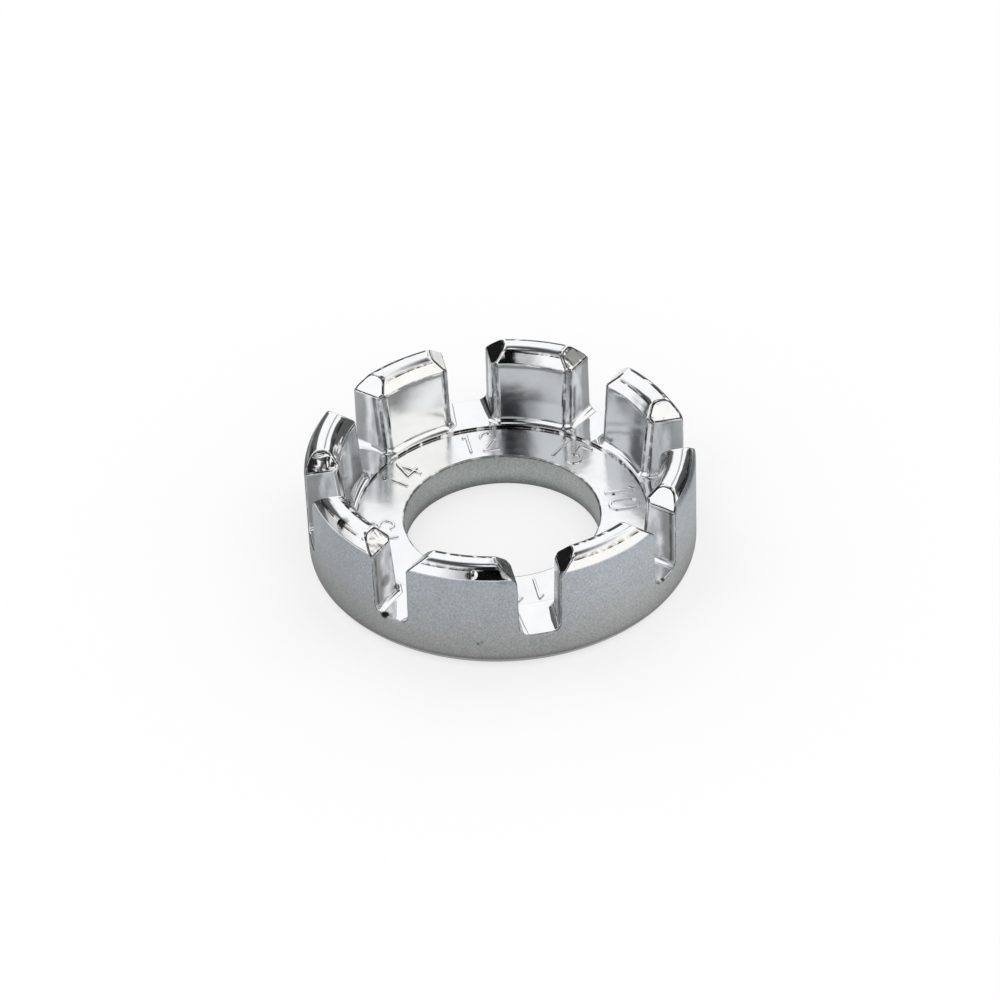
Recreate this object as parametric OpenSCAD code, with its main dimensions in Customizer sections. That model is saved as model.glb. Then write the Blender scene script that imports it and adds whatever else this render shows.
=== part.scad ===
// Round spoke wrench: a low ring with a large hole, eight jaws that stand up
// round its rim, and a nipple slot of another size between each two of them.
// The underside lies on z = 0 with the hole on the Z axis, and the jaws point up.
// Angles count from +X, and slot 0 points along +X.

/* [Ring] */
// Outside diameter
outer_d = 50; // [46:0.5:60]
// Height from the underside to the tops of the jaws
total_h = 15.5; // [13:0.5:20]
// Thickness of the ring under the slots
ring_h = 5; // [4:0.25:7]
// Diameter of the hole through the middle
hole_d = 25.2; // [16:0.1:25.6]
// Bevel round both ends of the hole
hole_bevel = 0.3; // [0.1:0.05:0.6]
// Radius of the lower outside corner
foot_r = 2; // [0.5:0.1:3]
// Depth of the numbered floor below the slots
floor_drop = 0.35; // [0.1:0.05:0.8]

/* [Jaws] */
// Width of the flat top of a jaw, measured from the middle outwards
top_w = 2.1; // [1.5:0.1:3]
// Width of the bevel along the outer top edge
outer_bevel_w = 1.1; // [0.4:0.1:1.6]
// Height of that bevel
outer_bevel_h = 1.8; // [0.6:0.1:2.4]
// Width of the bevel along the inner top edge
inner_bevel_w = 1.4; // [0.4:0.1:1.6]
// Height of that bevel
inner_bevel_h = 1.8; // [0.6:0.1:2.4]
// How far the inner wall leans in between that bevel and its root
inner_lean = 0.7; // [0.2:0.1:1]
// Radius of the hollow along the root of the inner wall
root_r = 0.9; // [0.4:0.1:1.2]
// Flat ledge between that hollow and the numbered floor
ledge_w = 0.1; // [0.05:0.05:0.4]
// Bevel down the two inner corners of a jaw
corner_bevel = 0.7; // [0.3:0.1:1]

/* [Slots] */
// Width of the slot for gauge 10
slot_10_w = 6.2; // [4.2:0.1:7]
// Width of the slot for gauge 11
slot_11_w = 5.2; // [4.2:0.1:7]
// Width of the slot for gauge 12
slot_12_w = 5.6; // [4.2:0.1:7]
// Width of the slot for gauge 13
slot_13_w = 5.3; // [4.2:0.1:7]
// Width of the slot for gauge 14
slot_14_w = 5.2; // [4.2:0.1:7]
// Width of the slot for gauge 15
slot_15_w = 5; // [4.2:0.1:7]
// Width of the slot for gauge 16
slot_16_w = 4.8; // [4.2:0.1:7]
// Width of the slot for gauge 17
slot_17_w = 4.6; // [4.2:0.1:7]
// Radius between a slot's floor and its walls
slot_r = 1.2; // [0.4:0.1:1.6]
// How far each wall of a slot leans out between its foot and its mouth
slot_lean = 0.1; // [0.05:0.05:0.3]
// Leg of the 45 degree mouth at the top of each slot wall
mouth_w = 2.1; // [0.8:0.1:2.4]

/* [Gauge numbers] */
// Height of a digit, its top outwards, as a share of the clear width of its floor
digit_h_share = 0.707; // [0.4:0.001:0.85]
// Width of a digit, as a share of its height
digit_w_share = 0.561; // [0.4:0.001:0.62]
// Distance between the middles of two digits, as a share of their height
digit_pitch_share = 0.659; // [0.64:0.001:0.8]
// Width of a digit's strokes, as a share of its height
stroke_w_share = 0.0976; // [0.06:0.0001:0.15]
// How far the digits stand above their floor
relief_h = 0.2; // [0.1:0.05:0.3]

/* [Casting pips] */
// Diameter of a pip
pip_d = 1.3; // [0.8:0.1:1.6]
// Height of a pip above the bevel that carries it
pip_h = 0.25; // [0.1:0.05:0.4]
// Angle of the pip on the jaw between slots 5 and 6
front_pip_angle = -109; // [-120:1:-102]
// Angle of the pip on the jaw between slots 4 and 5
left_pip_angle = -156; // [-165:1:-147]

/* [Hidden] */
$fn = 96;
// Overrun of every cut past the face that it opens
over = 0.5;

// Gauge and width of each slot, anticlockwise from +X
gauges = ["10", "15", "12", "14", "13", "16", "11", "17"];
slot_widths = [slot_10_w, slot_15_w, slot_12_w, slot_14_w, slot_13_w, slot_16_w, slot_11_w, slot_17_w];
slots = len(gauges);
slot_angle = 360 / slots;

// Radii of the ring and the jaws, from the outside inwards
outer_r = outer_d / 2;
top_outer_r = outer_r - outer_bevel_w;
top_inner_r = top_outer_r - top_w;
bevel_foot_r = top_inner_r - inner_bevel_w;
wall_root_r = bevel_foot_r - inner_lean;
floor_r = wall_root_r - root_r - ledge_w;
hole_r = hole_d / 2;

// Heights, from the underside upwards
floor_z = ring_h - floor_drop;
seat_z = ring_h + max(root_r, slot_r);
bevel_foot_z = total_h - inner_bevel_h;
mouth_z = total_h - mouth_w;

// Lean of a jaw's inner wall from the vertical
wall_angle = atan(inner_lean / (bevel_foot_z - seat_z));

// Clear floor between the hole's bevel and the step, and the digits that it carries
floor_w = floor_r - hole_r - hole_bevel;
digit_h = digit_h_share * floor_w;
digit_w = digit_w_share * digit_h;
digit_pitch = digit_pitch_share * digit_h;
stroke_w = stroke_w_share * digit_h;

// Middle of the digits, and half the reach of their centre lines
digit_r = floor_r - floor_w / 2;
reach_x = (digit_w - stroke_w) / 2;
reach_y = (digit_h - stroke_w) / 2;

// Shares of a digit's half width or half height
flag_share = 0.5;
stem_share = 0.4;
crossbar_share = 0.45;
taper_share = 0.6;

// How far up the outer bevel each pip sits, as a share of the bevel
front_pip_share = 0.45;
left_pip_share = 0.65;

metal = [0.80, 0.81, 0.83];
bright_metal = [0.88, 0.89, 0.90];
mark_metal = [0.62, 0.64, 0.67];

function jaw_name(i) = str("jaw_", gauges[i], "_", gauges[(i + 1) % slots]);
function mark_name(i) = str("gauge_mark_", gauges[i]);

// Outline of a slot where it is sunk in the ring, with its rounded foot
module slot_foot(i) {
    w = slot_widths[i % slots];
    half = w / 2;
    translate([-half, ring_h + slot_r])
        square([w, seat_z]);
    translate([slot_r - half, ring_h])
        square([w - 2 * slot_r, seat_z]);
    for (side = [-1, 1])
        translate([side * (half - slot_r), ring_h + slot_r])
            circle(slot_r);
}

// Outline of a slot between two jaws, with leaning walls and its open mouth
module slot_walls(i) {
    foot = slot_widths[i % slots] / 2;
    mouth = foot + slot_lean;
    rim = mouth + mouth_w + over;
    polygon([
        [-foot, ring_h],
        [foot, ring_h],
        [mouth, mouth_z],
        [rim, total_h + over],
        [-rim, total_h + over],
        [-mouth, mouth_z]
    ]);
}

// Lays an outline across slot i and runs it from the middle of the ring outwards
module along_slot(i) {
    rotate([0, 0, i * slot_angle])
        rotate([90, 0, 90])
            linear_extrude(outer_r + over)
                children();
}

// Removes the inner corner of the jaw on one side of slot i. The cut leans about height z
// and starts that far below it.
module corner_cut(i, side, z, lean, below) {
    foot = slot_widths[i % slots] / 2;
    corner_x = sqrt(wall_root_r * wall_root_r - foot * foot);
    thickness = corner_bevel * sqrt(2);
    rotate([0, 0, i * slot_angle])
        translate([corner_x, side * foot, z])
            rotate([0, lean, 0])
                rotate([0, 0, side * 45])
                    translate([-thickness / 2, -thickness, -below])
                        cube([thickness, 2 * thickness, total_h]);
}

// Outline of the ring, turned round the Z axis
module ring_section() {
    difference() {
        union() {
            translate([hole_r, foot_r])
                square([outer_r - hole_r, seat_z - foot_r]);
            translate([hole_r, 0])
                square([outer_r - foot_r - hole_r, seat_z]);
            translate([outer_r - foot_r, foot_r])
                circle(foot_r);
        }
        translate([0, floor_z])
            square([floor_r, seat_z]);
        translate([0, ring_h])
            square([wall_root_r - root_r, seat_z]);
        translate([0, ring_h + root_r])
            square([wall_root_r, seat_z]);
        translate([wall_root_r - root_r, ring_h + root_r])
            circle(root_r);
        polygon([
            [hole_r - over, -over],
            [hole_r + hole_bevel + over, -over],
            [hole_r - over, hole_bevel + over]
        ]);
        polygon([
            [hole_r - over, floor_z + over],
            [hole_r + hole_bevel + over, floor_z + over],
            [hole_r - over, floor_z - hole_bevel - over]
        ]);
    }
}

// The ring with its numbered floor, the slot floors and the jaws' rounded feet
module ring_body() {
    color(metal)
        difference() {
            rotate_extrude()
                ring_section();
            for (i = [0 : slots - 1]) {
                along_slot(i)
                    slot_foot(i);
                corner_cut(i, 1, ring_h, 0, 0);
                corner_cut(i, -1, ring_h, 0, 0);
            }
        }
}

// A wedge of the whole height between two angles
module sector(from, to) {
    reach = 2 * outer_r;
    linear_extrude(total_h)
        polygon([
            [0, 0],
            reach * [cos(from), sin(from)],
            reach * [cos(to), sin(to)]
        ]);
}

// Outline of a jaw, turned round the Z axis
module jaw_section() {
    polygon([
        [wall_root_r, seat_z],
        [bevel_foot_r, bevel_foot_z],
        [top_inner_r, total_h],
        [top_outer_r, total_h],
        [outer_r, total_h - outer_bevel_h],
        [outer_r, seat_z]
    ]);
}

// The jaw between slot i and the next one
module jaw(i) {
    color(bright_metal)
        difference() {
            intersection() {
                rotate_extrude()
                    jaw_section();
                sector(i * slot_angle, (i + 1) * slot_angle);
            }
            along_slot(i)
                slot_walls(i);
            along_slot(i + 1)
                slot_walls(i + 1);
            corner_cut(i, 1, seat_z, wall_angle, over);
            corner_cut(i + 1, -1, seat_z, wall_angle, over);
        }
}

// A straight stroke between two points, with round ends
module stroke(a, b) {
    run = b - a;
    translate(a)
        rotate(atan2(run.y, run.x))
            translate([0, -stroke_w / 2])
                square([norm(run), stroke_w]);
    for (end = [a, b])
        translate(end)
            circle(stroke_w / 2);
}

// A stroke along a circle from one angle to another, with round ends
module curve(centre, r, from, to) {
    edge = 2 * r + stroke_w;
    steps = ceil((to - from) / 45);
    translate(centre) {
        intersection() {
            difference() {
                circle(r + stroke_w / 2);
                circle(r - stroke_w / 2);
            }
            polygon(concat(
                [[0, 0]],
                [for (k = [0 : steps]) let (a = from + (to - from) * k / steps) edge * [cos(a), sin(a)]]
            ));
        }
        for (a = [from, to])
            translate(r * [cos(a), sin(a)])
                circle(stroke_w / 2);
    }
}

module digit_0() {
    bend = reach_y - reach_x;
    curve([0, bend], reach_x, 0, 180);
    curve([0, -bend], reach_x, 180, 360);
    stroke([reach_x, -bend], [reach_x, bend]);
    stroke([-reach_x, -bend], [-reach_x, bend]);
}

module digit_1() {
    flag = flag_share * reach_x;
    stroke([0, reach_y], [0, -reach_y]);
    stroke([0, reach_y], [-flag, reach_y - flag]);
}

module digit_2() {
    middle = [0, reach_y - reach_x];
    curve(middle, reach_x, -30, 170);
    stroke(middle + reach_x * [cos(30), -sin(30)], [-reach_x, -reach_y]);
    stroke([-reach_x, -reach_y], [reach_x, -reach_y]);
}

module digit_3() {
    bowl = reach_y / 2;
    curve([0, bowl], bowl, -90, 150);
    curve([0, -bowl], bowl, -150, 90);
}

module digit_4() {
    stem = stem_share * reach_x;
    crossbar = -crossbar_share * reach_y;
    stroke([stem, reach_y], [stem, -reach_y]);
    stroke([stem, reach_y], [-reach_x, crossbar]);
    stroke([-reach_x, crossbar], [reach_x, crossbar]);
}

module digit_5() {
    middle = [0, reach_x - reach_y];
    curve(middle, reach_x, -150, 130);
    stroke(middle + reach_x * [cos(130), sin(130)], [-reach_x, reach_y]);
    stroke([-reach_x, reach_y], [reach_x, reach_y]);
}

module digit_6() {
    middle = [0, reach_x - reach_y];
    curve(middle, reach_x, 0, 180);
    curve(middle, reach_x, 180, 360);
    stroke(middle + reach_x * [-1, 0], [stem_share * reach_x, reach_y]);
}

module digit_7() {
    stroke([-reach_x, reach_y], [reach_x, reach_y]);
    stroke([reach_x, reach_y], [-stem_share * reach_x, -reach_y]);
}

module digit(d) {
    if (d == "0") digit_0();
    if (d == "1") digit_1();
    if (d == "2") digit_2();
    if (d == "3") digit_3();
    if (d == "4") digit_4();
    if (d == "5") digit_5();
    if (d == "6") digit_6();
    if (d == "7") digit_7();
}

// The raised number of slot i, on the sunk floor at the slot's inner end
module gauge_mark(i) {
    color(mark_metal)
        rotate([0, 0, i * slot_angle - 90])
            translate([0, digit_r, floor_z])
                linear_extrude(relief_h) {
                    translate([-digit_pitch / 2, 0])
                        digit(gauges[i][0]);
                    translate([digit_pitch / 2, 0])
                        digit(gauges[i][1]);
                }
}

// A low round pip that stands square on the outer bevel of a jaw
module pip(angle, share) {
    bevel_angle = atan(outer_bevel_h / outer_bevel_w);
    rotate([0, 0, angle])
        translate([outer_r - share * outer_bevel_w, 0, total_h - (1 - share) * outer_bevel_h])
            rotate([0, bevel_angle, 0])
                cylinder(h = pip_h, d1 = pip_d, d2 = taper_share * pip_d);
}

module casting_pips() {
    color(mark_metal) {
        pip(front_pip_angle, front_pip_share);
        pip(left_pip_angle, left_pip_share);
    }
}

ring_body();
for (i = [0 : slots - 1]) jaw(i);
for (i = [0 : slots - 1]) gauge_mark(i);
casting_pips();
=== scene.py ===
"""Round spoke wrench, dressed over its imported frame.

The ring and its eight jaws are first modelled straight, one pitch of the rim at a time, so that
every facet is flat while its edges are rounded. Each pitch is then rolled round the Z axis. The
straight pitch has x along the rim, y outwards and z up, in millimetres. Slot 0 points along +X.
"""
import math
from types import SimpleNamespace

import bmesh
import bpy
from mathutils import Matrix, Vector


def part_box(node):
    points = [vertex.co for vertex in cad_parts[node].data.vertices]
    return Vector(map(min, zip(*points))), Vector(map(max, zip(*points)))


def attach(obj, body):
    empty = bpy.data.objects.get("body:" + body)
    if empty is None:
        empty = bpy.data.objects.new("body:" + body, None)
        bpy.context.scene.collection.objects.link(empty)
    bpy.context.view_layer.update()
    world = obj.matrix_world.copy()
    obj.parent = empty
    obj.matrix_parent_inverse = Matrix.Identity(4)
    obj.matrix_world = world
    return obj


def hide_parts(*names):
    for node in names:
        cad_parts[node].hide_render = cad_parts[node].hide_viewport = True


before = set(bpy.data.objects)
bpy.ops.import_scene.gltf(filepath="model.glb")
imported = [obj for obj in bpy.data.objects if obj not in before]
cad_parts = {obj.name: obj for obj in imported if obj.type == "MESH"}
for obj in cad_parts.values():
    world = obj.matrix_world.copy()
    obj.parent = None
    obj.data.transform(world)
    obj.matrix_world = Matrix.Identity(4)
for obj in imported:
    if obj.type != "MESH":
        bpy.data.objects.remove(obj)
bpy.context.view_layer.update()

MM = 0.001

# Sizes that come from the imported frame, in millimetres
OUTER_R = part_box("ring_body")[1].x / MM
SEAT_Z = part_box("jaw_10_15")[0].z / MM
TOTAL_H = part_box("jaw_10_15")[1].z / MM

# Gauge and width of each slot, anticlockwise from +X
SLOTS = (
    ("10", 6.2), ("15", 5.0), ("12", 5.6), ("14", 5.2),
    ("13", 5.3), ("16", 4.8), ("11", 5.2), ("17", 4.6),
)
PITCH = math.tau / len(SLOTS)

# Radii and heights of the ring
RING_H = 5.0
FLOOR_Z = 4.65
HOLE_R = 12.6
STEP_R = 18.7
FOOT_R = 2.0

# Radii and heights of a jaw
WALL_FOOT_R = 19.59
WALL_TOP_R = 20.57
TOP_INNER_R = 21.8
TOP_OUTER_R = 23.9
BEVEL_Z = 13.7
BEVEL_FOOT_R = 20.4
MOUTH_Z = 13.4
SLOT_LEAN = 0.1
CORNER = 0.7

# Rounding of the casting: radii, and into how many strips each is cut
FOOT_FILLET = 0.8
SLOT_FILLET_RATIO = 1.5
CROWN_SOFT = 0.75
FAR_CROWN_SOFT = 0.55
SHOULDER_SOFT = 0.4
INNER_FOOT_SOFT = 0.22
EDGE_R = 0.28
STEP_EDGE_R = 0.07
HOLE_EDGE_R = 0.25
MARK_EDGE_R = 0.1
RING_FOOT_STRIPS = 10
FILLET_STRIPS = 8
CROWN_STRIPS = 7
EDGE_STRIPS = 3
STEP_STRIPS = 2

# Angles in degrees: edges this sharp are rounded or shaded hard, flatter ones are dissolved
HOLLOW_ANGLE = -20
EDGE_ANGLE = 14
BRIM_ANGLE = 45
HARD_ANGLE = 50
FLAT_ANGLE = 0.2
MARK_FLAT_ANGLE = 1

# How dark the painted reflections and shade are along each edge and on the pips, kept with each
# face
EDGE_LAYER = "edge"
MOUTH_LAYER = "mouth"
CROWN_OUTLINES = (0.95, 0.5, 0.15)
FAR_CROWN_OUTLINES = (0.8, 1.2, 1.6, 1.6, 1.6, 1.6, 1.3)
INNER_FOOT_OUTLINES = (0.0, 0.5, 0.0)
MOUTH_OUTLINE = 1.3
UPRIGHT_OUTLINE = 0.65
STEP_OUTLINE = 1.2
HOLE_OUTLINE = 0.6
MARK_OUTLINES = {"14": 1.2, "12": 0.6, "15": 0.6, "10": 0.15}
MARK_OUTLINE = 0.35
PIP_OUTLINE = 3.0

# A face beside a rounded strip is a flat one from this area on, and a strip is upright where its
# normal turns this far from both axes
FLAT_AREA = 1.0
UPRIGHT_TURN = 0.3

# The crown edge of each jaw that lies on the far side in the photograph, by its radius
FAR_CROWNS = (TOP_OUTER_R,) * 3 + (None,) + (TOP_INNER_R,) * 3 + (None,)

# The two pips: angle in degrees, place up the outer bevel, and how far round their painted shade
# reaches
PIPS = ((-109, 0.45, -0.15), (-156, 0.65, 0.8))
PIP_R = 0.65
PIP_H = 0.25
PIP_SINK = 0.03
PIP_SEGMENTS = 32

# Small stains and pits, and painted shade beside the pips: place and radius in millimetres, and
# how dark
STAINS_AND_PIP_SHADE = (
    (14.9, 0.9, 4.65, 0.3, 1.0),
    (17.1, -18.0, 5.0, 0.4, 0.9),
    (-18.2, -16.7, 5.0, 0.65, 1.0),
    (-17.5, -14.1, 8.3, 1.2, 0.6),
    (-16.3, -13.1, 11.6, 0.8, 0.4),
    # The next two, beside the two pips, are painted shade
    (-8.5, -23.3, 14.6, 0.7, 0.9),
    (-21.9, -9.9, 14.9, 1.1, 0.7),
    (-3.6, -22.6, 14.3, 2.6, 0.75),
    (-7.8, -23.75, 3.9, 0.3, 0.5),
    (-7.3, -23.9, 4.2, 0.25, 0.4),
)
BLOT_CORE = 0.5
BLOT_FRAY = (0.6, 1.4)

# Finishes: linear colours and roughness
PLATE = (0.975, 0.975, 0.975)
# The inner walls are greyer as painted shade, and one of them lighter as painted light
INNER_WALL = (0.71, 0.735, 0.75)
PAINTED_LIGHT_WALL = (0.95, 0.97, 0.98)
SLOT_LIGHT = (0.9, 0.925, 0.94)
SLOT_DARK = (0.68, 0.7, 0.72)
SLOT_SATIN = (0.42, 0.435, 0.44)
# The satin is warmer towards the foot, and darker there as painted shade
SATIN_HIGH = (0.44, 0.475, 0.505)
SATIN_LOW = (0.40, 0.405, 0.395)
SATIN_HOLE = (0.52, 0.55, 0.54)
UNDERSIDE = (0.5, 0.51, 0.51)
# Colour of the painted dark reflections and shade along edges, and of the stains
STAIN_AND_PAINTED_DARK = (0.03, 0.025, 0.02)
ROUGH_PLATE = 0.06
ROUGH_INNER_WALL = 0.14
ROUGH_FLOOR = 0.17
ROUGH_SLOT = 0.15
ROUGH_SLOT_SATIN = 0.36
ROUGH_SATIN = 0.42
SLOT_METAL = 0.45

# Where the satin lies: it goes up to the bevel, higher where it climbs, and is a thin skin deep
SATIN_CLIMB = 1.45
SATIN_CLIMB_START = 0.45
SATIN_CLIMB_TURN = 54
SATIN_WANDER = 0.3
SATIN_WANDER_SIZE = 4.0
SATIN_TOP = (BEVEL_Z - 0.15, BEVEL_Z + 0.12)
SATIN_SKIN = (0.14, 0.45)
SATIN_SKIN_HEIGHTS = (13.2, 13.6)
HOLE_SATIN = (HOLE_R + 0.02, HOLE_R + 0.14)
UNDER_SATIN = (0.02, 0.12)

# Where the other finishes lie: two limits in millimetres, and how soft they are where given
WALL_HEIGHTS = (5.7, MOUTH_Z, 0.4)
INNER_WALL_RADII = (19.3, 20.75, 0.2)
# Turn round the Z axis of the inner wall that is painted lighter
PAINTED_LIGHT_WALL_TURN = (98, 127, 8)
SLOT_WALL_RADII = (20.85, 24.85, 0.2)
SLOT_SATIN_RADII = (23.0, 23.9)
SLOT_FRAY = 0.8
SLOT_FRAY_SIZE = 1.6
FLOOR_HEIGHTS = (4.5, 4.9, 0.05)
FLOOR_RADII = (12.9, STEP_R, 0.2)
INNER_BEVEL_RADII = (21.7, 22.2)
INNER_BEVEL_HEIGHTS = (13.7, 13.9)

# Patterns in the plate: size of their lumps in millimetres and detail, and how far some are drawn
MOTTLE = (0.9, 3.0)
CLOUD = (3.0, 2.0)
GRAIN = (0.22, 2.0)
STREAK = (1.2, 2.0)
STREAK_DRAWN = (1, 1, 0.35)
BREAKS = (1.1, 3.0)
SWELL = (2.4, 1.0)
RIPPLE = (0.8, 1.0)
DENT = (1.2, 1.0)
SCORE = (0.35, 2.0)
DRAW = (0.7, 1.0)
DRAWN = 0.12

# Height of the cast surface's waves, in millimetres
SWELL_H = 0.02
RIPPLE_H = 0.004
GRAIN_H = 0.003
SCORE_H = 0.006
DENT_H = 0.03
DRAW_H = 0.03

# How far patterns, and the painted shade of the satin, change a finish
SLOT_DARK_STREAK = (0.4, 0.7)
SLOT_STREAK = (1.3, 0.7)
SATIN_FADE_HEIGHTS = (0.5, 13.0)
SATIN_GRAIN = (0.5, 1.5)
FOOT_SHADE_HEIGHTS = (0.4, 1.6)
FOOT_SHADE = 0.75
SIDE_SHADE_X = (15, 24.5)
SIDE_SHADE = 0.9
CLOUD_SHADES = (0.93, 1.05)
ROUGH_MOTTLE = (0.7, 1.3)

# Dark broken lines: painted shade along the riser of the step, and lines down the slots' walls
RISER_RADII = (STEP_R - 0.06, STEP_R + 0.03, 0.02)
RISER_HEIGHTS = (FLOOR_Z + 0.02, RING_H, 0.04)
LINE_BREAKS = (0.32, 0.55)
CORNER_LINE_RADII = (20.2, 20.8, 0.3)
CORNER_LINE_LEAN = 0.093
CORNER_LINE_Y = (9, 14)
RIM_LINE_RADII = (24.1, 24.5, 0.2)
RIM_LINE_Y = (-12, -9)
WALL_LINE_BREAKS = (0.3, 0.5)
WALL_LINE_DARK = 0.7

# Cards round the object: azimuth from and to, elevation from and to, softness, grey
CARDS = (
    (-119, -97, 10, 29, 5, 0.01),
    (-114, -97, 25, 48, 5, 0.01),
    (-129, -97, 8, 44, 14, 0.5),
    (-127, -100, 44, 80, 10, 0.02),
    (142, 158, 15, 24, 8, 0.5),
    (112, 137, -2, 17, 4, 0.1),
    (98, 150, -8, 42, 6, 0.12),
    (60, 71, 24, 50, 5, 0.4),
    (1, 10, 14, 33, 4, 0.3),
    (162, 190, -12, 3, 3, 0.08),
    (-190, -174, -12, 3, 3, 0.08),
    (8, 43, -12, 36.5, 4, 0.1),
    (-92, -79, 47, 60, 3, 0.015),
    (93, 174, -20, 6, 10, 0.6),
)

# The dark ceiling and the lamp's window, given as the cards are, and the light of both
CEILING_SPAN = (55, 73)
CEILING_GREY = 0.08
ZENITH_SPAN = (79, 86)
LAMP_WINDOW = (-75, 5, 12, 56, 12)
BOUNCE_KEEPS = 0.82
LAMP_TINT = (1.0, 0.985, 0.955)
ROOM_TINT = (0.97, 0.985, 1.0)

# What polished metal sees on the table: cards, by azimuth from and to, radius from and to,
# softness of the radii and grey, all in degrees and millimetres
TABLE_CARDS = (
    (92, 150, 41, 900, 10, 0.35),
    (92, 160, 95, 900, 50, 0.3),
    (34, 58, 42, 85, 8, 0.2),
    (4, 50, 60, 900, 30, 0.12),
    (4, 40, 105, 900, 30, 0.35),
    (28, 52, 27, 42, 6, 0.75),
)
TABLE_CARD_SOFT = 6

# The table's painted lit side, its far side, painted shade under the rim, and two painted spots in
# the hole
TABLE_LIT = (-75, -5, 40)
TABLE_GREY = 0.83
TABLE_FAR = (60, 300)
TABLE_FAR_GREY = 0.6
RIM_SHADE_INSIDE = (9, 13)
RIM_SHADE_OUTSIDE = (24.5, 29.5)
RIM_SHADE_GREY = 0.42
# The spots in the hole: a painted shadow, then a painted pool of light
HOLE_SPOT = (0.6, 2.4)
HOLE_SPOT_EDGE = (1.9, 6.2)
HOLE_SPOT_GREY = 0.01
HOLE_PAINTED_LIGHT = (7, 1)
HOLE_PAINTED_LIGHT_EDGE = (4.5, 7.5)

# Half of the floor's width in metres, and how much of a shadow it keeps
FLOOR_HALF = 3.0
SHADOW_SHARE = 0.4

# Camera, from a fit to the photograph: angles in degrees and lengths in millimetres
CAMERA_AZIMUTH = -9.8
CAMERA_ELEVATION = 37.976
CAMERA_ROLL = 2.289
CAMERA_DISTANCE = 568.276
CAMERA_TARGET_Z = 7.0
CAMERA_LENS = 159.30
CAMERA_SENSOR = 36
CAMERA_SHIFT = (-0.001438, 0.000832)
CAMERA_NEAR = 10

# The straight pitch: its length, and how far beyond a slot's wall its parallel sides reach
PITCH_LENGTH = 15.0
MOUTH_REACH = 2.3
STRIP = 0.3
WALL_CUT_Z = 13.0
EPS = 1e-4
SLACK = 0.02
FILLET_SLACK = 0.05
SQUARE_ON = 0.999
FACET_WEIGHT = 80


def name_of_jaw(i):
    """The jaw between slot i and the next one."""
    return f"jaw_{SLOTS[i][0]}_{SLOTS[(i + 1) % len(SLOTS)][0]}"


def arc(centre_y, centre_z, r, start, end, steps):
    """Points of an arc in the y and z of the straight pitch, from one angle to another."""
    angles = [math.radians(start + (end - start) * k / steps) for k in range(steps + 1)]
    return [(centre_y + r * math.cos(a), centre_z + r * math.sin(a)) for a in angles]


def layered_mesh():
    """A new mesh that keeps with each face what the finish needs to know of it."""
    bm = bmesh.new()
    for layer in (EDGE_LAYER, MOUTH_LAYER):
        bm.faces.layers.float.new(layer)
    return bm


def pulled_section(points):
    """An outline in the y and z of the straight pitch, pulled out to its whole length."""
    bm = layered_mesh()
    outline = bm.faces.new([bm.verts.new((0.0, y, z)) for y, z in points])
    pulled = bmesh.ops.extrude_face_region(bm, geom=[outline], use_keep_orig=True)
    far_end = [v for v in pulled["geom"] if isinstance(v, bmesh.types.BMVert)]
    bmesh.ops.translate(bm, verts=far_end, vec=(PITCH_LENGTH, 0, 0))
    bmesh.ops.recalc_face_normals(bm, faces=bm.faces)
    return bm


def cut(bm, faces, point, normal, clear=True):
    """Cuts faces with a plane and, if asked, takes away what lies beyond it and closes the cut.

    It gives the faces that close the cut.
    """
    geom = dict.fromkeys(faces)
    for face in faces:
        geom.update(dict.fromkeys(face.edges))
        geom.update(dict.fromkeys(face.verts))
    made = bmesh.ops.bisect_plane(
        bm, geom=list(geom), dist=EPS, plane_co=point, plane_no=normal, clear_outer=clear
    )
    if not clear:
        return []
    rim = [e for e in made["geom_cut"] if isinstance(e, bmesh.types.BMEdge)]
    return bmesh.ops.contextual_create(bm, geom=rim)["faces"]


def lies_on(edge, axis, value, slack=EPS):
    """True if both ends of an edge have that coordinate."""
    return all(abs(v.co[axis] - value) < slack for v in edge.verts)


def sharpness(edge):
    """Angle between the two faces of an edge in degrees, above zero where the edge stands out."""
    if len(edge.link_faces) != 2:
        return 0.0
    return math.degrees(edge.calc_face_angle_signed(0.0))


def round_off(bm, edges, r, strips, outline=0.0):
    """Rounds edges to a radius and notes how dark the painted reflection along them is."""
    made = bmesh.ops.bevel(
        bm, geom=edges, offset=r, offset_type="OFFSET", segments=strips, profile=0.5,
        affect="EDGES", clamp_overlap=False, material=-1,
    )
    layer = bm.faces.layers.float[EDGE_LAYER]
    for face in made["faces"]:
        face[layer] = outline
    return made["faces"]


def top_of_ring(bm):
    """The flat faces at the height of the ring."""
    return [f for f in bm.faces if all(abs(v.co.z - RING_H) < EPS for v in f.verts)]


def pull_up_jaw(bm, left, right):
    """Cuts the outline of a jaw's foot in the top of the ring and pulls the jaw up from it."""
    for point, normal in (
        ((left, 0, 0), (1, 0, 0)),
        ((right, 0, 0), (1, 0, 0)),
        ((0, WALL_FOOT_R, 0), (0, 1, 0)),
        ((left, WALL_FOOT_R + CORNER, 0), (1, 1, 0)),
        ((right, WALL_FOOT_R + CORNER, 0), (-1, 1, 0)),
    ):
        cut(bm, top_of_ring(bm), point, normal, clear=False)
    middle = Vector((PITCH_LENGTH / 2, (WALL_FOOT_R + OUTER_R) / 2, RING_H))
    foot = min(top_of_ring(bm), key=lambda f: (f.calc_center_median() - middle).length)
    pulled = bmesh.ops.extrude_face_region(bm, geom=[foot])
    lean = SLOT_LEAN * (TOTAL_H - RING_H) / (MOUTH_Z - RING_H)
    for v in pulled["geom"]:
        if not isinstance(v, bmesh.types.BMVert):
            continue
        v.co.x += lean if v.co.x < middle.x else -lean
        if v.co.y < OUTER_R - EPS:
            v.co.y += WALL_TOP_R - WALL_FOOT_R
        v.co.z = TOTAL_H
    bmesh.ops.delete(bm, geom=[foot], context="FACES_ONLY")


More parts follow.
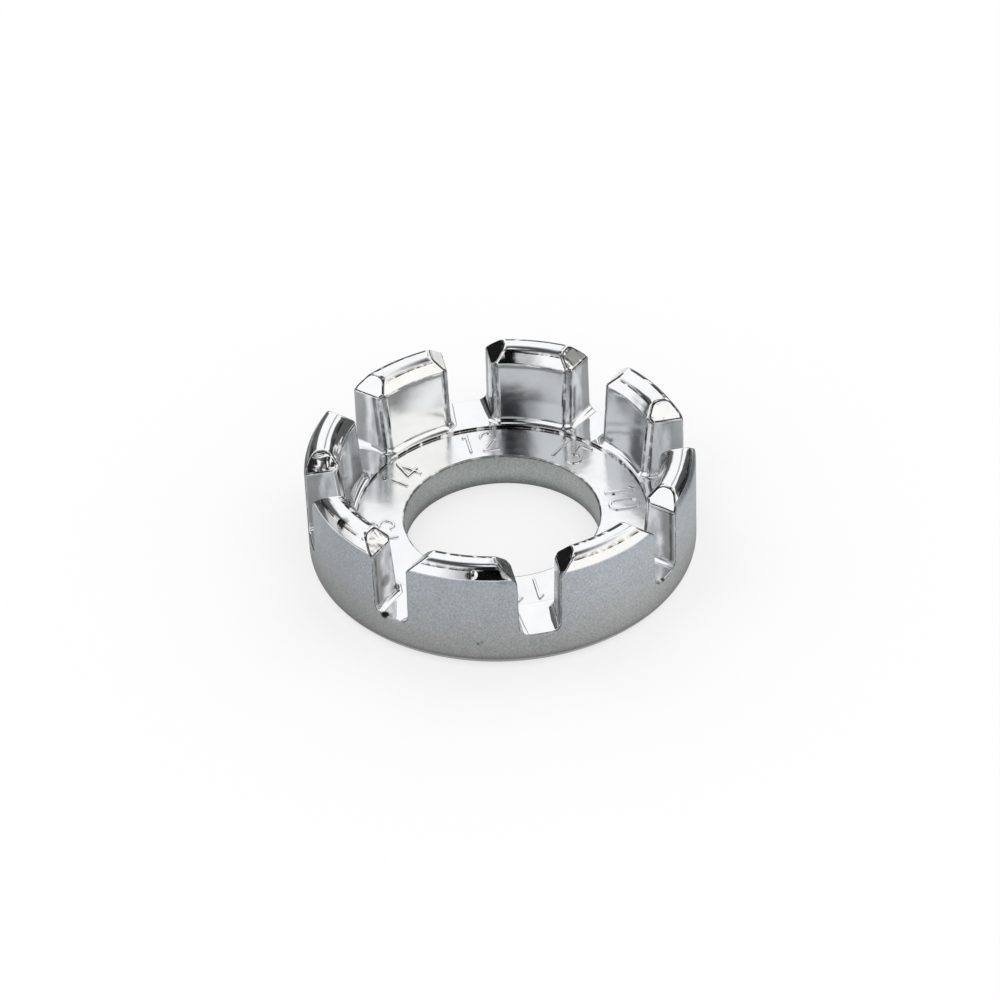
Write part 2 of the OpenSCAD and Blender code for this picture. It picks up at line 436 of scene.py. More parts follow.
def cut_jaw(bm, point, normal):
    """Cuts the jaw with a plane and closes it, and leaves the ring below it alone."""
    jaw = [f for f in bm.faces if f.calc_center_median().z > RING_H + EPS]
    return cut(bm, jaw, point, normal)


def cut_bevels(bm, far_y):
    """Cuts the outer and inner bevels of the jaw and rounds their long edges.

    The crown edge at far_y is less rounded, and its painted dark reflection is wider.
    """
    cut_jaw(bm, (0, OUTER_R, BEVEL_Z), (0, TOTAL_H - BEVEL_Z, OUTER_R - TOP_OUTER_R))
    cut_jaw(bm, (0, BEVEL_FOOT_R, BEVEL_Z), (0, BEVEL_Z - TOTAL_H, TOP_INNER_R - BEVEL_FOOT_R))
    layer = bm.faces.layers.float[EDGE_LAYER]
    for y, z, r, count, outlines in (
        (TOP_OUTER_R, TOTAL_H, CROWN_SOFT, CROWN_STRIPS, CROWN_OUTLINES),
        (TOP_INNER_R, TOTAL_H, CROWN_SOFT, CROWN_STRIPS, CROWN_OUTLINES),
        (OUTER_R, BEVEL_Z, SHOULDER_SOFT, EDGE_STRIPS, ()),
        (BEVEL_FOOT_R, BEVEL_Z, INNER_FOOT_SOFT, EDGE_STRIPS, INNER_FOOT_OUTLINES),
    ):
        long_edge = [e for e in bm.edges if lies_on(e, 1, y, SLACK) and lies_on(e, 2, z, SLACK)]
        if y == far_y:
            r = FAR_CROWN_SOFT
            outlines = FAR_CROWN_OUTLINES
        strips = round_off(bm, long_edge, r, count)
        for face in strips:
            face.normal_update()
        # Each rounding's strips get painted dark reflections, darkest on the strip that faces
        # lowest
        strips.sort(key=lambda f: f.normal.z)
        for face, outline in zip(strips, outlines):
            face[layer] = outline


def cut_mouths(bm, left, right):
    """Cuts the open mouths of the jaw's two slots across the rounded crown."""
    ground = cut_jaw(bm, (left + SLOT_LEAN, 0, MOUTH_Z), (-1, 0, 1))
    ground += cut_jaw(bm, (right - SLOT_LEAN, 0, MOUTH_Z), (1, 0, 1))
    for face in ground:
        face[bm.faces.layers.float[MOUTH_LAYER]] = 1.0
        face[bm.faces.layers.float[EDGE_LAYER]] = 0.0


def round_hollow(bm, left, right):
    """Rounds the hollow at the jaw's foot.

    It widens along the slots, from the jaw's inner corners to the outer wall.
    """
    hollow = [e for e in bm.edges if sharpness(e) < HOLLOW_ANGLE and lies_on(e, 2, RING_H)]
    round_off(bm, hollow, FOOT_FILLET, FILLET_STRIPS)
    slot_start = WALL_FOOT_R + CORNER
    reach = FOOT_FILLET + FILLET_SLACK
    for v in bm.verts:
        side = left if v.co.x < PITCH_LENGTH / 2 else right
        low = RING_H - EPS < v.co.z < RING_H + reach
        if not low or abs(v.co.x - side) > reach or v.co.y < slot_start:
            continue
        share = (v.co.y - slot_start) / (OUTER_R - slot_start)
        ratio = 1 + (SLOT_FILLET_RATIO - 1) * share
        v.co.x = side + (v.co.x - side) * ratio
        v.co.z = RING_H + (v.co.z - RING_H) * ratio


def outline_edges(bm, strips):
    """Notes the painted dark reflections of the jaw's rounded edges: round the mouths, and up the
    corners.
    """
    edge_layer = bm.faces.layers.float[EDGE_LAYER]
    mouth_layer = bm.faces.layers.float[MOUTH_LAYER]
    for face in strips:
        face[mouth_layer] = 0.0
        face.normal_update()
        around = {f for e in face.edges for f in e.link_faces if f.calc_area() > FLAT_AREA}
        if any(f[mouth_layer] > 0.5 for f in around):
            face[edge_layer] = MOUTH_OUTLINE
        elif min(abs(face.normal.x), abs(face.normal.y)) > UPRIGHT_TURN:
            face[edge_layer] = UPRIGHT_OUTLINE


def round_edges(bm):
    """Rounds every edge that stands out: the jaw's, the step's and the hole's."""
    jaw_edges = []
    step_edges = []
    hole_edges = []
    for e in bm.edges:
        if lies_on(e, 0, 0) or lies_on(e, 0, PITCH_LENGTH) or sharpness(e) < EDGE_ANGLE:
            continue
        if lies_on(e, 1, STEP_R):
            step_edges.append(e)
        elif lies_on(e, 1, HOLE_R):
            hole_edges.append(e)
        elif min(v.co.z for v in e.verts) > RING_H - EPS:
            jaw_edges.append(e)
    outline_edges(bm, round_off(bm, jaw_edges, EDGE_R, EDGE_STRIPS))
    # The step's rounded edges get painted shade, and the hole's get painted dark reflections
    for edges, r, count, outline in (
        (step_edges, STEP_EDGE_R, STEP_STRIPS, STEP_OUTLINE),
        (hole_edges, HOLE_EDGE_R, EDGE_STRIPS, HOLE_OUTLINE),
    ):
        round_off(bm, [e for e in edges if e.is_valid], r, count, outline)


def straight_pitch(left_w, right_w, far_y):
    """The ring and the jaw between two slots, laid out straight, with every edge rounded."""
    points = [(OUTER_R, RING_H)]
    points += arc(OUTER_R - FOOT_R, FOOT_R, FOOT_R, 0, -90, RING_FOOT_STRIPS)
    points += [(HOLE_R, 0.0), (HOLE_R, FLOOR_Z), (STEP_R, FLOOR_Z), (STEP_R, RING_H)]
    bm = pulled_section(points)
    left = left_w / 2
    right = PITCH_LENGTH - right_w / 2
    pull_up_jaw(bm, left, right)
    cut_bevels(bm, far_y)
    cut_mouths(bm, left, right)
    flat = math.radians(FLAT_ANGLE)
    bmesh.ops.dissolve_limit(bm, angle_limit=flat, verts=bm.verts, edges=bm.edges)
    round_hollow(bm, left, right)
    round_edges(bm)

    # Narrow strips let the pitch bend, the seat parts the jaw from the ring, and a cut across
    # the walls keeps their corners from making slivers
    for k in range(1, math.ceil(PITCH_LENGTH / STRIP)):
        cut(bm, list(bm.faces), (k * STRIP, 0, 0), (1, 0, 0), clear=False)
    for height in (SEAT_Z, WALL_CUT_Z):
        cut(bm, list(bm.faces), (0, 0, height), (0, 0, 1), clear=False)
    return bm


def rolled(point, i, left_reach, right_reach):
    """Place on the wrench, in metres, of a point of the straight pitch that follows slot i."""
    x, r, z = point
    share = x / PITCH_LENGTH
    if x < left_reach:
        held = math.asin(x / r)
    elif x > PITCH_LENGTH - right_reach:
        held = PITCH - math.asin((PITCH_LENGTH - x) / r)
    else:
        start = math.asin(left_reach / r)
        end = PITCH - math.asin(right_reach / r)
        held = start + (end - start) * (x - left_reach) / (PITCH_LENGTH - left_reach - right_reach)
    pull = min(max((r - STEP_R) / (WALL_FOOT_R - STEP_R), 0.0), 1.0)
    angle = i * PITCH + PITCH * share + (held - PITCH * share) * pull
    return Vector((r * math.cos(angle), r * math.sin(angle), z)) * MM


def close_seat(bm):
    """Closes the openings that parting at the seat has left."""
    rim = [e for e in bm.edges if e.is_boundary and lies_on(e, 2, SEAT_Z)]
    bmesh.ops.holes_fill(bm, edges=rim, sides=0)


def is_end(face):
    """True for a face that closes an end of the straight pitch."""
    x = face.calc_center_median().x
    return abs(face.normal.x) > SQUARE_ON and min(abs(x), abs(x - PITCH_LENGTH)) < EPS


def parted_at_seat(pitch):
    """The jaw and the ring of a straight pitch, parted at the seat and closed there."""
    jaw = pitch.copy()
    low = [f for f in jaw.faces if f.calc_center_median().z < SEAT_Z]
    bmesh.ops.delete(jaw, geom=low, context="FACES")
    high = [f for f in pitch.faces if f.calc_center_median().z > SEAT_Z]
    ends = [f for f in pitch.faces if is_end(f)]
    bmesh.ops.delete(pitch, geom=high + ends, context="FACES")
    close_seat(jaw)
    close_seat(pitch)
    return jaw, pitch


def gather(whole, part):
    """Adds a part's faces to a whole."""
    carried = bpy.data.meshes.new("carried")
    part.to_mesh(carried)
    part.free()
    whole.from_mesh(carried)
    bpy.data.meshes.remove(carried)


def add_piece(name, bm, material, slot, *nodes):
    """Makes a piece of a mesh, with soft shading between its sharp edges."""
    bmesh.ops.remove_doubles(bm, verts=bm.verts, dist=EPS * MM)
    bmesh.ops.recalc_face_normals(bm, faces=bm.faces)
    for face in bm.faces:
        face.smooth = True
    for edge in bm.edges:
        edge.smooth = edge.calc_face_angle(0.0) < math.radians(HARD_ANGLE)
    mesh = bpy.data.meshes.new(name)
    bm.to_mesh(mesh)
    bm.free()
    piece = bpy.data.objects.new(name, mesh)
    bpy.context.scene.collection.objects.link(piece)
    mesh.materials.append(material)
    weighted = piece.modifiers.new("facets", "WEIGHTED_NORMAL")
    weighted.keep_sharp = True
    weighted.weight = FACET_WEIGHT
    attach(piece, "root")
    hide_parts(*nodes)


def make_casting(material):
    """The ring and the eight jaws."""
    whole_ring = layered_mesh()
    for i in range(len(SLOTS)):
        left_w = SLOTS[i][1]
        right_w = SLOTS[(i + 1) % len(SLOTS)][1]
        jaw, ring = parted_at_seat(straight_pitch(left_w, right_w, FAR_CROWNS[i]))
        reach = (left_w / 2 + MOUTH_REACH, right_w / 2 + MOUTH_REACH)
        for part in (jaw, ring):
            for v in part.verts:
                v.co = rolled(v.co, i, *reach)
        name = name_of_jaw(i)
        add_piece("wrench_" + name, jaw, material, "bright_chrome", name)
        gather(whole_ring, ring)
    add_piece("wrench_ring", whole_ring, material, "satin_chrome", "ring_body")


def make_marks(material):
    """The raised gauge numbers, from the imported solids, with soft top edges."""
    flat = math.radians(MARK_FLAT_ANGLE)
    for gauge, _ in SLOTS:
        node = "gauge_mark_" + gauge
        bm = layered_mesh()
        bm.from_mesh(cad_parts[node].data)
        bmesh.ops.scale(bm, verts=bm.verts, vec=(1 / MM, 1 / MM, 1 / MM))
        bmesh.ops.remove_doubles(bm, verts=bm.verts, dist=EPS)
        bmesh.ops.dissolve_limit(bm, angle_limit=flat, verts=bm.verts, edges=bm.edges)
        top = max(v.co.z for v in bm.verts)
        brim = [e for e in bm.edges if lies_on(e, 2, top) and sharpness(e) > BRIM_ANGLE]
        # The numbers' rounded top edges get painted dark reflections, darker on some numbers than
        # others
        outline = MARK_OUTLINES.get(gauge, MARK_OUTLINE)
        round_off(bm, brim, MARK_EDGE_R, EDGE_STRIPS, outline)
        bmesh.ops.scale(bm, verts=bm.verts, vec=(MM, MM, MM))
        add_piece("raised_" + gauge, bm, material, "bright_chrome", node)


def make_pips(material):
    """The two round pips that stand on the outer bevel of the front jaws."""
    both = layered_mesh()
    climb = TOTAL_H - BEVEL_Z
    run = OUTER_R - TOP_OUTER_R
    for angle, share, painted_shade_reach in PIPS:
        pip = layered_mesh()
        bmesh.ops.create_uvsphere(
            pip, u_segments=PIP_SEGMENTS, v_segments=PIP_SEGMENTS // 2, radius=1.0)
        bmesh.ops.scale(pip, verts=pip.verts, vec=(PIP_R, PIP_R, PIP_H))
        cut(pip, list(pip.faces), (0, 0, -PIP_SINK), (0, 0, -1))
        for face in pip.faces:
            face.normal_update()
            # Faces on one side of the pip get painted shade
            if face.normal.y < painted_shade_reach:
                face[pip.faces.layers.float[EDGE_LAYER]] = PIP_OUTLINE
        place = (
            Matrix.Rotation(math.radians(angle), 4, "Z")
            @ Matrix.Translation((OUTER_R - share * run, 0, TOTAL_H - (1 - share) * climb))
            @ Matrix.Rotation(math.atan2(climb, run), 4, "Y")
        )
        bmesh.ops.transform(pip, matrix=place, verts=pip.verts)
        bmesh.ops.scale(pip, verts=pip.verts, vec=(MM, MM, MM))
        gather(both, pip)
    add_piece("round_pips", both, material, "bright_chrome", "casting_pips")


def add_node(tree, kind, options=None, inputs=None):
    """Adds a shader node, sets its options, and sets or wires its inputs."""
    node = tree.nodes.new(kind)
    for key, value in (options or {}).items():
        setattr(node, key, value)
    for key, value in (inputs or {}).items():
        if isinstance(value, bpy.types.NodeSocket):
            tree.links.new(value, node.inputs[key])
        else:
            node.inputs[key].default_value = value
    return node


def calc(tree, operation, first, second=0.0):
    """A Math node's answer."""
    node = add_node(tree, "ShaderNodeMath", {"operation": operation}, {0: first, 1: second})
    return node.outputs[0]


def times(tree, first, second):
    """Two values multiplied, or where two masks overlap."""
    return calc(tree, "MULTIPLY", first, second)


def most(tree, first, second):
    """The larger of two values, or two masks together."""
    return calc(tree, "MAXIMUM", first, second)


def rise(tree, value, start, end):
    """Climbs softly from 0 to 1 while the value goes from start to end."""
    node = add_node(
        tree, "ShaderNodeMapRange", {"interpolation_type": "SMOOTHSTEP"},
        {"Value": value, "From Min": start, "From Max": end},
    )
    return node.outputs["Result"]


def fall(tree, value, start, end):
    """Falls softly from 1 to 0 while the value goes from start to end."""
    return calc(tree, "SUBTRACT", 1.0, rise(tree, value, start, end))


def between(tree, value, low, high, soft):
    """1 while the value lies between two limits, 0 outside, soft at both ends."""
    lower = rise(tree, value, low - soft / 2, low + soft / 2)
    upper = fall(tree, value, high - soft / 2, high + soft / 2)
    return times(tree, lower, upper)


def mix(tree, factor, first, second):
    """The first value where the factor is 0 and the second where it is 1."""
    node = add_node(
        tree, "ShaderNodeMapRange", None,
        {"Value": factor, "To Min": first, "To Max": second},
    )
    return node.outputs["Result"]


def shade(tree, level, where, grey):
    """A level, turned down to a share of itself where a mask is 1."""
    return times(tree, level, mix(tree, where, 1.0, grey))


def mix_colour(tree, factor, first, second):
    """The first colour where the factor is 0 and the second where it is 1."""
    node = add_node(tree, "ShaderNodeMix", {"data_type": "RGBA"}, {"Factor": factor})
    for key, colour in ((6, first), (7, second)):
        if isinstance(colour, tuple):
            node.inputs[key].default_value = (*colour, 1)
        else:
            tree.links.new(colour, node.inputs[key])
    return node.outputs[2]


def scaled(tree, vector, share):
    """A colour or a place times a share."""
    node = add_node(
        tree, "ShaderNodeVectorMath", {"operation": "SCALE"}, {0: vector, "Scale": share})
    return node.outputs["Vector"]


def drawn(tree, place, shares):
    """A place with its three coordinates times three shares."""
    node = add_node(
        tree, "ShaderNodeVectorMath", {"operation": "MULTIPLY"}, {0: place, 1: shares})
    return node.outputs["Vector"]


def distance(tree, place, centre):
    """How far a place is from a centre."""
    node = add_node(
        tree, "ShaderNodeVectorMath", {"operation": "DISTANCE"}, {0: place, 1: centre})
    return node.outputs["Value"]


def speckle(tree, place, size, detail=1.0):
    """Noise whose lumps are about that size, in millimetres."""
    node = add_node(
        tree, "ShaderNodeTexNoise", None,
        {"Vector": place, "Scale": 1 / (size * MM), "Detail": detail},
    )
    return node.outputs["Fac"]


def face_value(tree, layer):
    """What a mesh keeps with each face."""
    return add_node(tree, "ShaderNodeAttribute", {"attribute_name": layer}).outputs["Fac"]


def split(tree, place):
    """The three coordinates of a place."""
    return add_node(tree, "ShaderNodeSeparateXYZ", None, {0: place}).outputs


def azimuth(tree, axes):
    """Angle round the Z axis of split coordinates, in radians."""
    return calc(tree, "ARCTAN2", axes["Y"], axes["X"])


def casting_places(tree):
    """Where a point of the casting lies.

    place, far and up are in metres, as the patterns need them, x, y, z and r in millimetres, and
    angle in radians.
    """
    place = add_node(tree, "ShaderNodeTexCoord").outputs["Object"]
    axes = split(tree, place)
    flat = drawn(tree, place, (1, 1, 0))
    length = add_node(tree, "ShaderNodeVectorMath", {"operation": "LENGTH"}, {0: flat})
    far = length.outputs["Value"]
    return SimpleNamespace(
        place=place, far=far, up=axes["Z"], angle=azimuth(tree, axes),
        x=calc(tree, "DIVIDE", axes["X"], MM), y=calc(tree, "DIVIDE", axes["Y"], MM),
        z=calc(tree, "DIVIDE", axes["Z"], MM), r=calc(tree, "DIVIDE", far, MM),
    )


def satin_masks(tree, at):
    """Where the satin lies, and its parts in the hole and underneath."""
    turned = calc(tree, "ADD", times(tree, at.angle, 2.0), math.radians(SATIN_CLIMB_TURN))
    facing = calc(tree, "SUBTRACT", calc(tree, "COSINE", turned), SATIN_CLIMB_START)
    climb = times(tree, most(tree, facing, 0.0), SATIN_CLIMB)
    wander = times(tree, speckle(tree, at.place, SATIN_WANDER_SIZE), SATIN_WANDER)
    height = calc(tree, "SUBTRACT", calc(tree, "SUBTRACT", at.z, climb), wander)
    skin = mix(tree, rise(tree, at.z, *SATIN_SKIN_HEIGHTS), *SATIN_SKIN)
    in_skin = calc(tree, "LESS_THAN", calc(tree, "SUBTRACT", OUTER_R, at.r), skin)
    outer = times(tree, in_skin, fall(tree, height, *SATIN_TOP))
    hole = fall(tree, at.r, *HOLE_SATIN)
    under = fall(tree, at.z, *UNDER_SATIN)
    return most(tree, most(tree, outer, hole), under), hole, under


def finish_masks(tree, at):
    """Where each finish of the casting lies."""
    satin, hole, under = satin_masks(tree, at)
    above_floor = between(tree, at.z, *WALL_HEIGHTS)
    inner_wall = times(tree, between(tree, at.r, *INNER_WALL_RADII), above_floor)
    slot_wall = times(tree, between(tree, at.r, *SLOT_WALL_RADII), above_floor)
    fray = times(tree, speckle(tree, at.place, SLOT_FRAY_SIZE), SLOT_FRAY)
    frayed = calc(tree, "ADD", at.r, fray)
    slot_satin = times(tree, rise(tree, frayed, *SLOT_SATIN_RADII), slot_wall)
    low = between(tree, at.z, *FLOOR_HEIGHTS)
    sunk_floor = times(tree, between(tree, at.r, *FLOOR_RADII), low)
    above_bevel = rise(tree, at.z, *INNER_BEVEL_HEIGHTS)
    inner_bevel = times(tree, fall(tree, at.r, *INNER_BEVEL_RADII), above_bevel)
    return SimpleNamespace(
        satin=satin, hole=hole, under=under, above_floor=above_floor, inner_wall=inner_wall,
        slot_wall=slot_wall, slot_satin=slot_satin, sunk_floor=sunk_floor,
        inner_bevel=inner_bevel,
    )


def plate_patterns(tree, at):
    """Patterns that more than one property of the plate takes."""
    pulled_down = drawn(tree, at.place, STREAK_DRAWN)
    return SimpleNamespace(
        mottle=speckle(tree, at.place, *MOTTLE),
        grain=speckle(tree, at.place, *GRAIN),
        streak=speckle(tree, pulled_down, *STREAK),
    )


def wall_colour(tree, at, mask):
    """Plate, with inner walls greyer as painted shade, and one of them lighter as painted light.
    """
    turn = calc(tree, "DEGREES", at.angle)
    wall = mix_colour(tree, between(tree, turn, *PAINTED_LIGHT_WALL_TURN), INNER_WALL, PAINTED_LIGHT_WALL)
    return mix_colour(tree, mask.inner_wall, PLATE, wall)


def slot_colour(tree, mask, streak):
    """Streaked walls of the slots, satin towards the rim."""
    colour = mix_colour(tree, rise(tree, streak, *SLOT_DARK_STREAK), SLOT_LIGHT, SLOT_DARK)
    colour = mix_colour(tree, mask.slot_satin, colour, SLOT_SATIN)
    return scaled(tree, colour, mix(tree, streak, *SLOT_STREAK))


def satin_colour(tree, at, mask, grain):
    """Grainy satin, bluer up the wall and warmer towards the foot, with painted shade darkening it
    at the foot and the sides.
    """
    colour = mix_colour(tree, rise(tree, at.z, *SATIN_FADE_HEIGHTS), SATIN_LOW, SATIN_HIGH)
    colour = mix_colour(tree, mask.hole, colour, SATIN_HOLE)
    colour = mix_colour(tree, mask.under, colour, UNDERSIDE)
    colour = scaled(tree, colour, mix(tree, grain, *SATIN_GRAIN))
    above_foot = rise(tree, at.z, *FOOT_SHADE_HEIGHTS)
    colour = scaled(tree, colour, mix(tree, above_foot, FOOT_SHADE, 1.0))
    aside = rise(tree, calc(tree, "ABSOLUTE", at.x), *SIDE_SHADE_X)
    return scaled(tree, colour, mix(tree, aside, 1.0, SIDE_SHADE))


def painted_dark_lines(tree, at):
    """Painted dark reflections along the rounded edges and painted shade along the riser of the
    step, both broken up.
    """
    high = between(tree, at.z, *RISER_HEIGHTS)
    riser = times(tree, between(tree, at.r, *RISER_RADII), high)
    line = most(tree, face_value(tree, EDGE_LAYER), times(tree, riser, STEP_OUTLINE))
    return times(tree, line, rise(tree, speckle(tree, at.place, *BREAKS), *LINE_BREAKS))


def dark_wall_lines(tree, at, mask, streak):
    """Dark broken lines down the slots' walls: near the rear jaws' corners and the front jaws'
    rim.
    """
    from_corner = calc(tree, "SUBTRACT", at.r, times(tree, at.z, CORNER_LINE_LEAN))
    behind = rise(tree, at.y, *CORNER_LINE_Y)
    ahead = fall(tree, at.y, *RIM_LINE_Y)
    corner_line = times(tree, between(tree, from_corner, *CORNER_LINE_RADII), behind)
    rim_line = times(tree, between(tree, at.r, *RIM_LINE_RADII), ahead)
    wall_line = times(tree, most(tree, corner_line, rim_line), mask.above_floor)
    return times(tree, times(tree, wall_line, rise(tree, streak, *WALL_LINE_BREAKS)), WALL_LINE_DARK)


def with_stains_and_pip_shade(tree, at, mottle, dark):
    """The dark lines, with the small stains and the painted shade beside the pips added."""
    for x, y, z, radius, depth in STAINS_AND_PIP_SHADE:
        off = distance(tree, at.place, (x * MM, y * MM, z * MM))
        off = times(tree, off, mix(tree, mottle, *BLOT_FRAY))
        blot = fall(tree, off, radius * BLOT_CORE * MM, radius * MM)
        dark = most(tree, dark, times(tree, blot, depth))
    return dark


def plate_colour(tree, at, mask, pattern):
    """Colour of the whole casting."""
    colour = wall_colour(tree, at, mask)
    colour = mix_colour(tree, mask.slot_wall, colour, slot_colour(tree, mask, pattern.streak))
    satin = satin_colour(tree, at, mask, pattern.grain)
    colour = mix_colour(tree, mask.satin, colour, satin)
    colour = scaled(tree, colour, mix(tree, speckle(tree, at.place, *CLOUD), *CLOUD_SHADES))
    # The painted dark reflections and shade, the dark lines down the slots' walls and the stains
    # darken the colour
    dark = most(tree, painted_dark_lines(tree, at), dark_wall_lines(tree, at, mask, pattern.streak))
    dark = with_stains_and_pip_shade(tree, at, pattern.mottle, dark)
    return mix_colour(tree, dark, colour, STAIN_AND_PAINTED_DARK)


def plate_roughness(tree, mask, mottle):
    """Roughness of the whole casting."""
    slot = mix(tree, mask.slot_satin, ROUGH_SLOT, ROUGH_SLOT_SATIN)
    rough = mix(tree, mask.inner_wall, ROUGH_PLATE, ROUGH_INNER_WALL)
    rough = mix(tree, mask.slot_wall, rough, slot)
    rough = mix(tree, mask.sunk_floor, rough, ROUGH_FLOOR)
    rough = mix(tree, mask.satin, rough, ROUGH_SATIN)
    return times(tree, rough, mix(tree, mottle, *ROUGH_MOTTLE))


def unrolled(tree, at, outwards, along):
    """The casting unrolled flat, in metres, with two of its coordinates drawn."""
    node = add_node(
        tree, "ShaderNodeCombineXYZ", None,
        {0: times(tree, at.far, outwards), 1: times(tree, at.angle, OUTER_R * MM * along),
         2: at.up},
    )
    return node.outputs[0]


def plate_height(tree, at, mask, grain):
    """Height of the cast surface under the plate, in millimetres."""
    swell = times(tree, speckle(tree, at.place, *SWELL), SWELL_H)
    ripple = times(tree, speckle(tree, at.place, *RIPPLE), RIPPLE_H)
    cast = calc(tree, "ADD", swell, ripple)
    score = times(tree, speckle(tree, unrolled(tree, at, DRAWN, 1), *SCORE), SCORE_H)
    dent = times(tree, speckle(tree, at.place, *DENT), DENT_H)
    ground = times(tree, calc(tree, "ADD", score, dent), face_value(tree, MOUTH_LAYER))
    cast = calc(tree, "ADD", cast, ground)
    draw = times(tree, speckle(tree, unrolled(tree, at, 1, DRAWN), *DRAW), DRAW_H)
    cast = calc(tree, "ADD", cast, times(tree, draw, mask.inner_bevel))
    return mix(tree, mask.satin, cast, times(tree, grain, GRAIN_H))


def plated_casting():
    """Chrome plate on a casting: satin outside and in the hole, bright on floors and facets."""
    material = bpy.data.materials.new("plated_casting")
    material.use_nodes = True
    tree = material.node_tree
    at = casting_places(tree)
    mask = finish_masks(tree, at)
    pattern = plate_patterns(tree, at)
    height = plate_height(tree, at, mask, pattern.grain)
    bump = add_node(tree, "ShaderNodeBump", None, {"Height": height, "Distance": MM})
    shader = tree.nodes["Principled BSDF"]
    for key, value in (
        ("Base Color", plate_colour(tree, at, mask, pattern)),
        ("Metallic", mix(tree, mask.slot_wall, 1.0, SLOT_METAL)),
        ("Roughness", plate_roughness(tree, mask, pattern.mottle)),
        ("Normal", bump.outputs["Normal"]),
    ):
        tree.links.new(value, shader.inputs[key])
    return material


def make_camera():
    """The photograph's view."""
    a = math.radians(CAMERA_AZIMUTH)
    e = math.radians(CAMERA_ELEVATION)
    back = Vector((math.sin(a) * math.cos(e), -math.cos(a) * math.cos(e), math.sin(e)))
    level = Vector((math.cos(a), math.sin(a), 0))
    upright = Matrix((level, back.cross(level), back)).transposed()
    roll = Matrix.Rotation(math.radians(-CAMERA_ROLL), 3, "Z")
    data = bpy.data.cameras.new("camera")
    data.sensor_width = CAMERA_SENSOR
    data.lens = CAMERA_LENS
    data.shift_x, data.shift_y = CAMERA_SHIFT
    data.clip_start = CAMERA_NEAR * MM
    camera = bpy.data.objects.new("camera", data)
    target = Vector((0, 0, CAMERA_TARGET_Z * MM))
    stand = Matrix.Translation(target + back * CAMERA_DISTANCE * MM)
    camera.matrix_world = stand @ (upright @ roll).to_4x4()
    bpy.context.scene.collection.objects.link(camera)
    bpy.context.scene.camera = camera


def table_level(tree):
    """How bright polished metal sees the white table: painted light and shade on it, less where
    cards lie.
    """
    metres = add_node(tree, "ShaderNodeTexCoord").outputs["Object"]
    place = scaled(tree, metres, 1 / MM)
    turn = calc(tree, "DEGREES", azimuth(tree, split(tree, place)))
    far = distance(tree, place, (0, 0, 0))
    # A painted pool of light in the hole, and the table's painted lit side
    lamp = fall(tree, distance(tree, place, (*HOLE_PAINTED_LIGHT, 0)), *HOLE_PAINTED_LIGHT_EDGE)
    lit = most(tree, between(tree, turn, *TABLE_LIT), lamp)
    level = mix(tree, lit, TABLE_GREY, 1.0)
    level = shade(tree, level, rise(tree, far, *TABLE_FAR), TABLE_FAR_GREY)
    past_hole = rise(tree, far, *RIM_SHADE_INSIDE)
    rim = times(tree, past_hole, fall(tree, far, *RIM_SHADE_OUTSIDE))
    level = shade(tree, level, rim, RIM_SHADE_GREY)
    # A painted shadow in the hole
    spot = fall(tree, distance(tree, place, (*HOLE_SPOT, 0)), *HOLE_SPOT_EDGE)
    level = shade(tree, level, spot, HOLE_SPOT_GREY)
    for left, right, near, end, soft, grey in TABLE_CARDS:
        across = between(tree, turn, left, right, TABLE_CARD_SOFT)
        card = times(tree, across, between(tree, far, near, end, soft))
        level = shade(tree, level, card, grey)
    return level


def bounce_level(tree):
    """What the plate leaves of the light after its second and later reflections."""
    count = add_node(tree, "ShaderNodeLightPath").outputs["Glossy Depth"]
    later = most(tree, calc(tree, "SUBTRACT", count, 1.0), 0.0)
    return calc(tree, "POWER", BOUNCE_KEEPS, later)


def white_paper():
    """Glowing white paper that still takes a soft shadow."""
    material = bpy.data.materials.new("white_paper")
    material.use_nodes = True
    tree = material.node_tree
    tree.nodes.clear()
    glossy = add_node(tree, "ShaderNodeLightPath").outputs["Is Glossy Ray"]
    level = mix(tree, glossy, 1.0, times(tree, table_level(tree), bounce_level(tree)))
    glow = add_node(tree, "ShaderNodeEmission", None, {"Color": (1, 1, 1, 1), "Strength": level})
    paper = add_node(tree, "ShaderNodeBsdfDiffuse", None, {"Color": level})
    both = add_node(
        tree, "ShaderNodeMixShader", None,
        {0: SHADOW_SHARE, 1: glow.outputs[0], 2: paper.outputs[0]},
    )
    add_node(tree, "ShaderNodeOutputMaterial", None, {"Surface": both.outputs[0]})
    return material


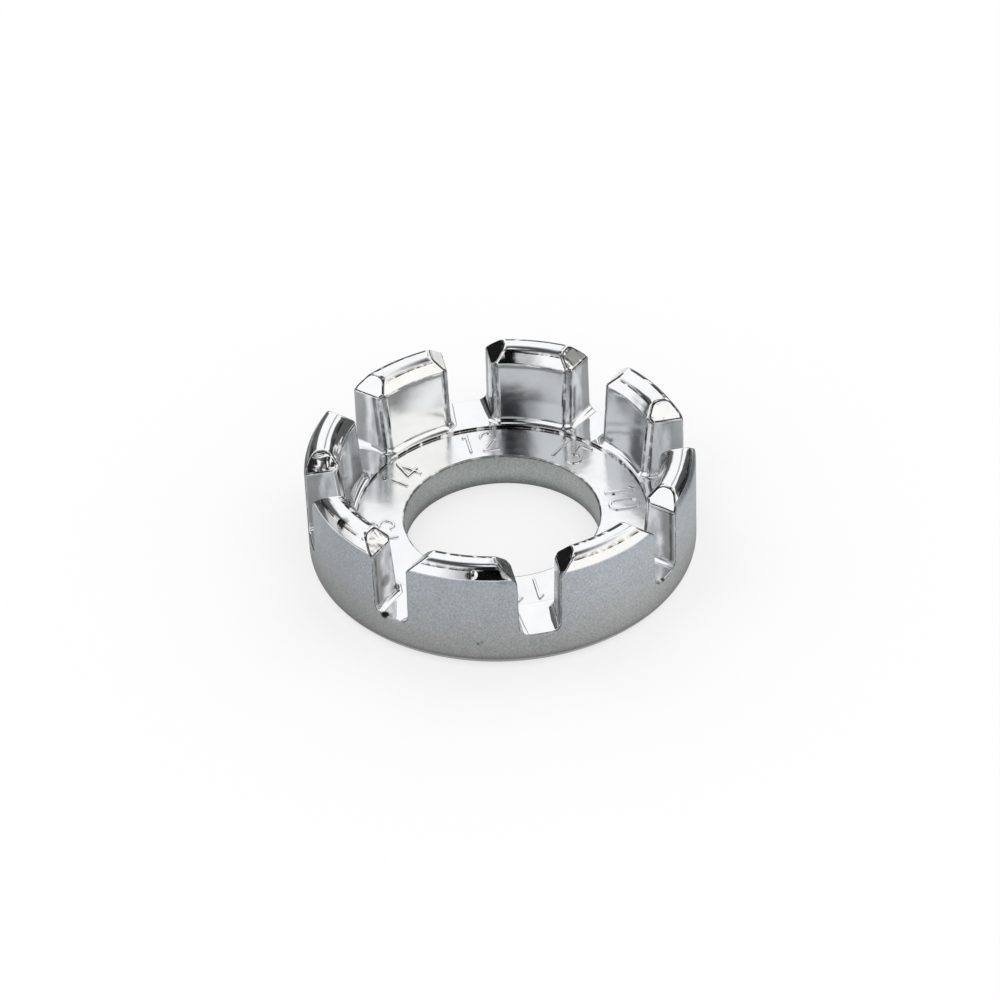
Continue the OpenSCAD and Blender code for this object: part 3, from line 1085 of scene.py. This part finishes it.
def make_floor():
    """The white table."""
    bm = bmesh.new()
    bmesh.ops.create_grid(bm, x_segments=1, y_segments=1, size=FLOOR_HALF)
    mesh = bpy.data.meshes.new("floor")
    bm.to_mesh(mesh)
    bm.free()
    floor = bpy.data.objects.new("floor", mesh)
    bpy.context.scene.collection.objects.link(floor)
    mesh.materials.append(white_paper())


def patch(tree, turn, up, left, right, low, high, soft):
    """A mask for a patch of the studio, between two azimuths and two elevations."""
    across = between(tree, turn, left, right, soft)
    return times(tree, across, between(tree, up, low, high, soft))


def make_world():
    """A white studio. Bright metal in it also shows the grey and black cards set round it."""
    world = bpy.data.worlds.new("studio")
    world.use_nodes = True
    world.cycles.sampling_method = "NONE"
    tree = world.node_tree
    tree.nodes.clear()
    axes = split(tree, add_node(tree, "ShaderNodeTexCoord").outputs["Generated"])
    turn = calc(tree, "DEGREES", azimuth(tree, axes))
    up = calc(tree, "DEGREES", calc(tree, "ARCSINE", axes["Z"]))
    window = patch(tree, turn, up, *LAMP_WINDOW)
    level = mix(tree, window, bounce_level(tree), 1.0)
    for *span, grey in CARDS:
        level = shade(tree, level, patch(tree, turn, up, *span), grey)
    ceiling = times(tree, rise(tree, up, *CEILING_SPAN), fall(tree, up, *ZENITH_SPAN))
    level = shade(tree, level, ceiling, CEILING_GREY)
    tint = mix_colour(tree, window, ROOM_TINT, LAMP_TINT)
    white = add_node(tree, "ShaderNodeBackground", None, {"Color": (1, 1, 1, 1), "Strength": 1.0})
    cards = add_node(tree, "ShaderNodeBackground", None, {"Color": tint, "Strength": level})
    glossy = add_node(tree, "ShaderNodeLightPath").outputs["Is Glossy Ray"]
    both = add_node(
        tree, "ShaderNodeMixShader", None,
        {0: glossy, 1: white.outputs[0], 2: cards.outputs[0]},
    )
    add_node(tree, "ShaderNodeOutputWorld", None, {"Surface": both.outputs[0]})
    bpy.context.scene.world = world
    bpy.context.scene.view_settings.view_transform = "Standard"


make_camera()
casting = plated_casting()
make_casting(casting)
make_marks(casting)
make_pips(casting)
make_floor()
make_world()
